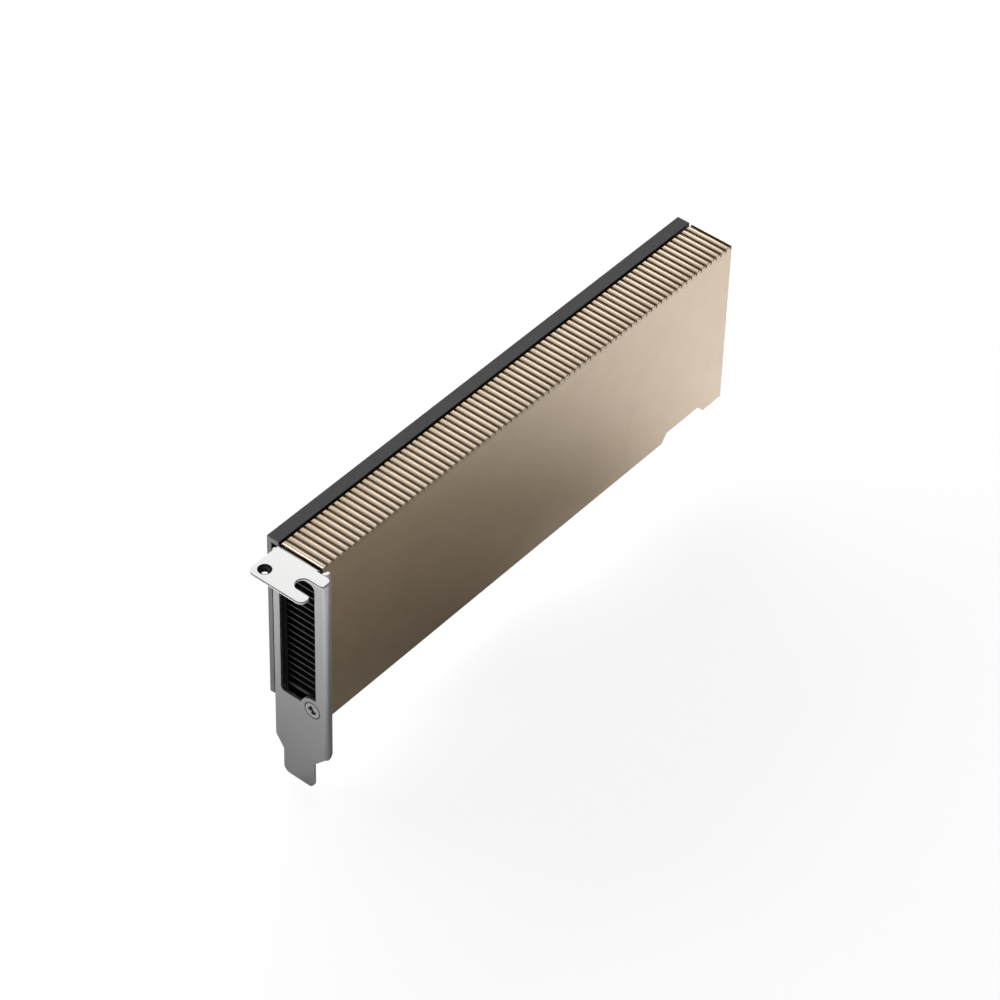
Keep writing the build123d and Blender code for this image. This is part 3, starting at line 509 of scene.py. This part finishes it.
@dataclass(frozen=True)
class MaskedBoardFinish(Finish):
    """Solder mask over copper, which shows as slightly paler fields.

    Attributes:
        copper: Linear colour of mask over copper.
        field: Width of a copper field, in millimetres.
        field_rim: Levels of the pattern between which a field begins.
        field_share: How much of the paler colour a field has.
    """

    copper: Colour = (0.012, 0.012, 0.012)
    field: float = 6.0
    field_rim: Span = (0.5, 0.52)
    field_share: float = 0.6

    def colour_socket(self, tree: NodeTree, grain: Socket) -> bpy.types.NodeSocket:
        """Return the mask's colour, paler in patches over copper."""
        fields = tree.noise(self.field, detail=0.0).rise(*self.field_rim) * self.field_share
        return tree.blend(fields, super().colour_socket(tree, grain), self.copper)


class Palette:
    """All finishes, by the record's material slot."""

    FINISHES = {
        "cover_gold": CoverFinish("anodised_cover", (0.66, 0.47, 0.27), 0.9, 0.42, grain_size=0.28,
                                  grain_depth=0.002, mottle=0.07, rough_swing=0.05, coat=1.0,
                                  coat_roughness=0.12, coat_index=2.7),
        "sink_aluminium": SinkFinish("extruded_fins", (0.13, 0.13, 0.13), 1.0, 0.5, Grain.ALONG_X,
                                     grain_size=0.15, grain_depth=0.002, mottle=0.08),
        "back_dark": PaleEndPlateFinish("dark_plate", (0.05, 0.05, 0.05), 0.6, 0.55, grain_size=0.36,
                                    grain_depth=0.006, mottle=0.15, rough_swing=0.1),
        "film_black": Finish("insulating_film", (0.02, 0.02, 0.02), 0.0, 0.4),
        "board_black": MaskedBoardFinish("solder_mask_and_screw_shade", (0.006, 0.006, 0.006), 0.0, 0.5, specular=0.08),
        "contact_gold": Finish("plated_contacts", (0.86, 0.62, 0.25), 1.0, 0.25, grain_depth=0.001),
        "bracket_steel": SheetFinish("plated_sheet", (0.67, 0.67, 0.665), 1.0, 0.4, grain_size=0.2,
                                     grain_depth=0.0012, mottle=0.02, rough_swing=0.05),
        "screw_steel": Finish("plated_screw", (0.85, 0.85, 0.84), 1.0, 0.25, grain_size=0.2,
                              grain_depth=0.001, mottle=0.05),
        "screw_dark": Finish("black_screw_and_hole_shade", (0.05, 0.05, 0.05), 0.9, 0.25),
        "spacer_brass": Finish("turned_brass", (0.70, 0.52, 0.24), 1.0, 0.35),
        "spring_steel": Finish("spring_leaf", (0.5, 0.5, 0.5), 1.0, 0.35, Grain.ALONG_X),
        "package_green": Finish("package_laminate", (0.02, 0.09, 0.04), 0.0, 0.45),
        "frame_nickel": Finish("nickel_frame", (0.55, 0.54, 0.52), 1.0, 0.35),
        "die_silicon": Finish("polished_silicon", (0.16, 0.17, 0.2), 0.9, 0.12, mottle=0.02),
        "paste_grey": Finish("thermal_paste_grey", (0.42, 0.42, 0.42), 0.0, 0.6, grain_size=0.5,
                             grain_depth=0.02),
        "pad_grey": Finish("gap_pad", (0.25, 0.3, 0.36), 0.0, 0.75, grain_size=0.4, grain_depth=0.02),
        "chip_black": Finish("moulded_chip", (0.018, 0.018, 0.018), 0.0, 0.5, grain_size=0.1),
        "ceramic_tan": Finish("ceramic_body", (0.28, 0.18, 0.1), 0.0, 0.5, grain_size=0.1),
        "choke_grey": Finish("pressed_powder", (0.09, 0.09, 0.09), 0.1, 0.6, grain_size=0.2,
                             grain_depth=0.01),
        "capacitor_black": Finish("capacitor_case", (0.03, 0.03, 0.03), 0.0, 0.45),
    }

    def __init__(self) -> None:
        """Build every material once."""
        self.materials = {slot: finish.material() for slot, finish in self.FINISHES.items()}

    def dress(self, piece: bpy.types.Object, slot: str) -> None:
        """Give a piece the material of a slot.

        Args:
            piece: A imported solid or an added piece.
            slot: The record's material slot.
        """
        if not piece.data.materials:
            piece.data.materials.append(self.materials[slot])
        for entry in piece.material_slots:
            entry.material = self.materials[slot]


@dataclass
class EdgeBreak:
    """The small round that a real edge has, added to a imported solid.

    Attributes:
        node: The solid's name.
        width: Width of the round, in millimetres.
        segments: Faces across it.
        angle: Edges sharper than this many degrees get it.
        join: Distance, in millimetres, within which the facets' corners are one.
    """

    node: str
    width: float
    segments: int = 2
    angle: float = 38.0
    join: float = 0.0005

    def apply(self, piece: bpy.types.Object) -> None:
        """Add the modifiers to the solid's object.

        Args:
            piece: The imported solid's object.
        """
        weld = piece.modifiers.new("join_facets", "WELD")
        weld.merge_threshold = self.join * MM
        bevel = piece.modifiers.new("edge_break", "BEVEL")
        bevel.width = self.width * MM
        bevel.segments = self.segments
        bevel.limit_method = "ANGLE"
        bevel.angle_limit = math.radians(self.angle)
        bevel.use_clamp_overlap = True


class Piece:
    """A new piece of the scene, built in one bmesh in millimetres.

    Corners nearer to each other than MERGE are one corner.
    """

    MERGE = 0.001

    def __init__(self, name: str) -> None:
        """Start an empty mesh."""
        self.name = name
        self.mesh = bmesh.new()

    def close(self) -> None:
        """Merge doubled corners and turn the faces outwards."""
        bmesh.ops.remove_doubles(self.mesh, verts=self.mesh.verts, dist=self.MERGE)
        bmesh.ops.recalc_face_normals(self.mesh, faces=self.mesh.faces)

    def finish(self, palette: Palette, slot: str) -> bpy.types.Object:
        """Write the mesh, dress it and let it ride on the card.

        Args:
            palette: The finishes.
            slot: The record's material slot.

        Returns:
            The new object.
        """
        bmesh.ops.scale(self.mesh, vec=(MM, MM, MM), verts=self.mesh.verts)
        data = bpy.data.meshes.new(self.name)
        self.mesh.to_mesh(data)
        self.mesh.free()
        made = bpy.data.objects.new(self.name, data)
        bpy.context.scene.collection.objects.link(made)
        palette.dress(made, slot)
        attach(made, BODY)
        LOG.info("piece %s: %d faces", self.name, len(data.polygons))
        return made


@dataclass
class TabThread:
    """The thread in the tab's bush, as closed rings in dark metal that also paints the hole's shade.

    Attributes:
        centre: The hole's axis, X and Y in millimetres.
        wall: Radius of the hole.
        depth: How far the thread stands in from the wall.
        pitch: Spacing of the rings.
        flank: Half a ring's height at the wall, as a share of the pitch.
        bottom: Height of the lowest ring.
        turns: Number of rings.
        steps: Sides of each ring.
    """

    centre: tuple[float, float] = (-2.17, 10.58)
    wall: float = 1.35
    depth: float = 0.32
    pitch: float = 0.4
    flank: float = 0.42
    bottom: float = -1.0
    turns: int = 4
    steps: int = 40

    def build(self, palette: Palette) -> None:
        """Spin a triangle round the hole's axis once for each ring.

        Args:
            palette: The finishes.
        """
        piece = Piece("tab_thread")
        half = self.pitch * self.flank
        for turn in range(self.turns):
            height = self.bottom + self.pitch * turn
            corners = [(self.wall, height - half), (self.wall - self.depth, height),
                       (self.wall, height + half)]
            ring = [piece.mesh.verts.new((self.centre[0] + radius, self.centre[1], level))
                    for radius, level in corners]
            edges = [piece.mesh.edges.new(pair) for pair in zip(ring, ring[1:] + ring[:1])]
            bmesh.ops.spin(piece.mesh, geom=ring + edges, cent=(*self.centre, 0), axis=(0, 0, 1),
                           angle=math.tau, steps=self.steps, use_merge=True)
        piece.close()
        # The dark finish stands partly for painted shade inside the hole.
        piece.finish(palette, "screw_dark")


@dataclass
class ScrewShade:
    """Shade in the lower bracket screw: the gap round its head and its cross recess.

    Attributes:
        centre: Y and Z of the screw's axis, in millimetres.
        face: X of the bracket's outer face.
        proud: How far the shade stands off the faces.
        inner: Radius of the head.
        outer: Radius of the countersink's rim.
        span: Length of the recess.
        width: Width of its arms where they are broadest.
        tip: Width at their tips.
        waist: Width at the middle of the recess.
        arms: Directions of the arms that lie in shade, in degrees from +Y.
        steps: Sides of the ring.
    """

    centre: tuple[float, float] = (2.9, -49.74)
    face: float = 5.85
    proud: float = 0.006
    inner: float = 2.33
    outer: float = 2.62
    span: float = 2.6
    width: float = 1.1
    tip: float = 1.0
    waist: float = 0.5
    arms: tuple[float, float] = (45.0, 225.0)
    steps: int = 48

    def build(self, palette: Palette) -> None:
        """Spin the ring's section round the screw's axis and lay the shaded arms on the head.

        Args:
            palette: The finishes.
        """
        piece = Piece("screw_shade")
        plane = self.face - self.proud
        axis = (0.0, *self.centre)
        ends = [piece.mesh.verts.new((plane, self.centre[0] + radius, self.centre[1]))
                for radius in (self.inner, self.outer)]
        edge = piece.mesh.edges.new(ends)
        bmesh.ops.spin(piece.mesh, geom=[*ends, edge], cent=axis, axis=(1, 0, 0), angle=math.tau,
                       steps=self.steps, use_merge=True)
        half, waist, narrow, broad = self.span / 2, self.waist / 2, self.tip / 2, self.width / 2
        outline = [(0.0, -waist), (broad, -broad), (half, -narrow), (half, narrow), (broad, broad),
                   (0.0, waist)]
        for direction in self.arms:
            arm = [piece.mesh.verts.new((plane, self.centre[0] + y, self.centre[1] + z)) for y, z in outline]
            turn = Matrix.Rotation(math.radians(direction), 3, "X")
            bmesh.ops.rotate(piece.mesh, cent=axis, matrix=turn, verts=arm)
            piece.mesh.faces.new(arm)
        piece.close()
        # The black mask material serves here as painted shade in the screw's gap and recess.
        piece.finish(palette, "board_black")


@dataclass
class BoardTraces:
    """Copper lines under the mask that climb from the edge contacts to the cover.

    Attributes:
        key: X of the key slot's middle, from the card's origin.
        first: Distance from the key to the first contact.
        pitch: Spacing of contacts.
        before: Contacts on the bracket's side of the key.
        after: Contacts on the far side.
        width: Width of a line.
        height: How far it stands proud.
        low: Height at which lines start.
        high: Height at which the longest end.
        stagger: How much earlier each next line of a group ends.
        group: Number of lines in a group.
        pad: Radius of the round pad at a line's end.
        pad_rise: How far the pad stands proud.
        pad_sides: Sides of the pad.
    """

    key: float = 63.0
    first: float = 1.5
    pitch: float = 1.0
    before: int = 11
    after: int = 38
    width: float = 0.22
    height: float = 0.03
    low: float = -63.2
    high: float = -57.0
    stagger: float = 1.2
    group: int = 3
    pad: float = 0.286
    pad_rise: float = 0.042
    pad_sides: int = 10

    def centres(self) -> list[float]:
        """Return the X of every contact."""
        left = [self.key - self.first - self.pitch * step for step in range(self.before)]
        return left + [self.key + self.first + self.pitch * step for step in range(self.after)]

    def build(self, palette: Palette) -> None:
        """Lay a low bar and a round pad over each line, on both sides of the board.

        Args:
            palette: The finishes.
        """
        lowest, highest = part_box("circuit_board")
        piece = Piece("board_traces")
        for side, plane in ((-1, lowest[1] / MM), (1, highest[1] / MM)):
            for step, x in enumerate(self.centres()):
                top = self.high - self.stagger * (step % self.group)
                made = bmesh.ops.create_cube(piece.mesh, size=1.0)["verts"]
                bmesh.ops.scale(piece.mesh, vec=(self.width, self.height * 2, top - self.low), verts=made)
                bmesh.ops.translate(piece.mesh, vec=(x, plane, (top + self.low) / 2), verts=made)
                ring = bmesh.ops.create_circle(piece.mesh, cap_ends=True, radius=self.pad,
                                               segments=self.pad_sides)["verts"]
                upright = Matrix.Rotation(math.pi / 2 * -side, 3, "X")
                bmesh.ops.rotate(piece.mesh, cent=(0, 0, 0), matrix=upright, verts=ring)
                bmesh.ops.translate(piece.mesh, vec=(x, plane + side * self.pad_rise, top), verts=ring)
        piece.finish(palette, "board_black")


class Card:
    """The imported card: its solids' finishes, edge rounds and added pieces."""

    BREAKS = [
        EdgeBreak("bracket", 0.25, 3),
        EdgeBreak("tab_bush", 0.12),
        EdgeBreak("front_cover", 0.09),
        EdgeBreak("back_plate", 0.08),
        EdgeBreak("heatsink", 0.05, 1),
        EdgeBreak("bracket_screws", 0.12),
        EdgeBreak("cover_screws", 0.07),
    ]

    def __init__(self, frame: dict[str, Any], palette: Palette) -> None:
        """Keep the frame and the finishes."""
        self.frame = frame
        self.palette = palette

    def dress_solids(self) -> None:
        """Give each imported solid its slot's finish and its edge round."""
        slots = {row["node"]: row["material_slot"] for row in self.frame["record"]["subparts"]}
        for name, piece in self.frame["nodes"].items():
            self.palette.dress(piece, slots[name])
            LOG.info("solid %s: %s", name, slots[name])
        for edge in self.BREAKS:
            edge.apply(self.frame["nodes"][edge.node])

    def add_pieces(self) -> None:
        """Build the pieces that the solids leave out."""
        TabThread().build(self.palette)
        ScrewShade().build(self.palette)
        BoardTraces().build(self.palette)


@dataclass(frozen=True)
class Lamp:
    """A flat lamp that looks at the card's middle.

    Attributes:
        name: The lamp's name.
        towards: Direction from the card to the lamp.
        distance: Metres from the card's middle.
        size: Its two sides, in metres.
        power: Watts.
        on_matt: Whether it lights paint, plastic and the floor.
        on_metal: Whether metal mirrors it.
    """

    name: str
    towards: Colour
    distance: float
    size: tuple[float, float]
    power: float
    on_matt: bool = True
    on_metal: bool = True

    def build(self, middle: Vector) -> None:
        """Hang the lamp.

        Args:
            middle: The card's middle, in metres.
        """
        data = bpy.data.lights.new(self.name, "AREA")
        data.shape = "RECTANGLE"
        data.size, data.size_y = self.size
        data.energy = self.power
        made = bpy.data.objects.new(self.name, data)
        direction = Vector(self.towards).normalized()
        made.location = middle + direction * self.distance
        made.rotation_mode = "QUATERNION"
        made.rotation_quaternion = direction.to_track_quat("Z", "Y")
        made.visible_diffuse = self.on_matt
        made.visible_glossy = self.on_metal
        bpy.context.scene.collection.objects.link(made)


@dataclass
class Studio:
    """Floor, world and lamps.

    Attributes:
        floor_level: Height of the floor, in millimetres.
        floor_side: Side of the floor, in metres.
        floor_colour: Linear colour of the floor itself.
        floor_white: Share of plain white that the camera sees in the floor.
        foot: Point of the floor, in millimetres, where the painted shade that metal mirrors is darkest.
        foot_reach: Distances from there at which it starts to brighten and is bright.
        foot_curve: Power of the ramp between them.
        foot_level: Share of the floor's light that is left at the foot.
        far_reach: Distances at which it starts to darken again and is dark.
        far_level: Share of the floor's light that is left far off.
        glow_towards: Direction of the brightest part of the sky that metal mirrors.
        glow_reach: Cosines of the angles from there at which that sky is darkest and brightest.
        sky_dark: Strength of the mirrored sky away from the glow.
        sky_bright: Its strength in the glow.
        ambient: Strength of the world where it lights surfaces.
    """

    floor_level: float = -80.0
    floor_side: float = 12.0
    floor_colour: Colour = (0.85, 0.85, 0.85)
    floor_white: float = 0.9
    foot: Colour = (20.0, 30.0, -80.0)
    foot_reach: Span = (0.0, 130.0)
    foot_curve: float = 1.5
    foot_level: float = 0.2
    far_reach: Span = (320.0, 600.0)
    far_level: float = 0.15
    glow_towards: Colour = (0.1, 0.42, 0.9)
    glow_reach: Span = (0.65, 0.94)
    sky_dark: float = 0.1
    sky_bright: float = 0.8
    ambient: float = 0.24

    LAMPS = (
        Lamp("key", (0.15, 0.80, 0.60), 0.7, (1.1, 0.3), 12.3, on_metal=False),
        Lamp("sheen", (0.57, 0.455, 0.685), 1.0, (0.4, 0.4), 1.12, on_matt=False),
    )

    def seen(self, tree: NodeTree, levels: dict[str, Any]) -> Socket:
        """Choose a level by the kind of ray.

        Args:
            tree: The nodes to add to.
            levels: A number or a value for each kind of ray, by the Light Path's names.

        Returns:
            The level of the ray's kind, or 0 for kinds that aren't named.
        """
        path = tree.node("ShaderNodeLightPath")
        return reduce(Socket.largest, [Socket(tree, path.outputs[name]) * level
                                       for name, level in levels.items()])

    def build_world(self) -> None:
        """White where the camera looks at it, dimmer in metal, and dimmer again where it lights the card."""
        world = bpy.data.worlds.new("studio")
        bpy.context.scene.world = world
        tree = NodeTree(world)
        way = tree.node("ShaderNodeTexCoord").outputs["Generated"]
        glow = tree.vector_math("DOT_PRODUCT", way, Vector(self.glow_towards).normalized())
        sky = glow.rise(*self.glow_reach) * (self.sky_bright - self.sky_dark) + self.sky_dark
        seen = self.seen(tree, {"Is Camera Ray": 1.0, "Is Transmission Ray": 1.0, "Is Glossy Ray": sky,
                                "Is Diffuse Ray": self.ambient})
        back = tree.node("ShaderNodeBackground", None, {"Color": WHITE, "Strength": seen})
        tree.node("ShaderNodeOutputWorld", None, {"Surface": back.outputs[0]})

    def build_floor(self) -> None:
        """A pale floor that looks white and keeps the card's shadow."""
        piece = bmesh.new()
        bmesh.ops.create_grid(piece, x_segments=1, y_segments=1, size=self.floor_side / 2)
        bmesh.ops.translate(piece, vec=(0, 0, self.floor_level * MM), verts=piece.verts)
        data = bpy.data.meshes.new("floor")
        piece.to_mesh(data)
        piece.free()
        floor = bpy.data.objects.new("floor", data)
        bpy.context.scene.collection.objects.link(floor)
        made = bpy.data.materials.new("pale_floor")
        tree = NodeTree(made)
        matt = tree.node("ShaderNodeBsdfDiffuse", None, {"Color": (*self.floor_colour, 1)})
        # Painted shade on the floor that only metal mirrors: darkest by the card's foot, dark again far off.
        away = tree.vector_math("DISTANCE", tree.place(), self.foot)
        near = away.rise(*self.foot_reach).power(self.foot_curve) * (1 - self.foot_level) + self.foot_level
        mirrored_shade = 1 - near * (1 - away.rise(*self.far_reach) * (1 - self.far_level))
        white = self.seen(tree, {"Is Camera Ray": 1.0, "Is Transmission Ray": 1.0})
        glow = tree.node("ShaderNodeEmission", None, {"Color": WHITE, "Strength": white})
        seen = self.seen(tree, {"Is Camera Ray": self.floor_white, "Is Transmission Ray": self.floor_white,
                                "Is Glossy Ray": mirrored_shade})
        mixed = tree.node("ShaderNodeMixShader", None, {"Fac": seen, 1: matt.outputs[0], 2: glow.outputs[0]})
        tree.node("ShaderNodeOutputMaterial", None, {"Surface": mixed.outputs[0]})
        data.materials.append(made)
        floor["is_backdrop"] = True

    def build(self) -> None:
        """Build the world, the floor and the lamps."""
        self.build_world()
        self.build_floor()
        lowest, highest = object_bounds()
        for lamp in self.LAMPS:
            lamp.build((lowest + highest) / 2)
        bpy.context.scene.view_settings.view_transform = "Standard"


@dataclass
class Camera:
    """The photograph's camera, solved from the card's straight edges.

    Attributes:
        position: In the card's frame, in millimetres.
        azimuth: Degrees from the view along +Y.
        elevation: Degrees above the horizon.
        roll: Degrees by which the picture's right side is raised.
        focal: Focal length in pixels.
        frame: Width and height of the photograph in pixels.
        sensor: Sensor width in millimetres.
        sight: Nearest and farthest distance that it sees, in metres.
    """

    position: Colour = (-527.56, -482.41, 702.16)
    azimuth: float = -51.327
    elevation: float = 43.26
    roll: float = 1.717
    focal: float = 4134.97
    frame: int = 1000
    sensor: float = 36.0
    sight: Span = (0.05, 50.0)

    def build(self) -> None:
        """Place the camera and make it the scene's."""
        turn, lift = math.radians(self.azimuth), math.radians(self.elevation)
        level = Vector((math.cos(turn), math.sin(turn), 0))
        back = Vector((math.sin(turn) * math.cos(lift), -math.cos(turn) * math.cos(lift), math.sin(lift)))
        above = back.cross(level)
        tilt = math.radians(self.roll)
        right = level * math.cos(tilt) + above * math.sin(tilt)
        top = back.cross(right)
        data = bpy.data.cameras.new("camera")
        data.sensor_width = self.sensor
        data.lens = self.focal / self.frame * self.sensor
        data.clip_start, data.clip_end = self.sight
        made = bpy.data.objects.new("camera", data)
        made.matrix_world = Matrix((
            (right.x, top.x, back.x, self.position[0] * MM),
            (right.y, top.y, back.y, self.position[1] * MM),
            (right.z, top.z, back.z, self.position[2] * MM),
            (0, 0, 0, 1)))
        bpy.context.scene.collection.objects.link(made)
        bpy.context.scene.camera = made


def main() -> None:
    """Load the frame, dress the card and set up the studio."""
    logging.basicConfig(level=logging.INFO, format="%(message)s")
    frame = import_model()
    card = Card(frame, Palette())
    Camera().build()
    card.dress_solids()
    card.add_pieces()
    Studio().build()


if __name__ == "__main__":
    main()
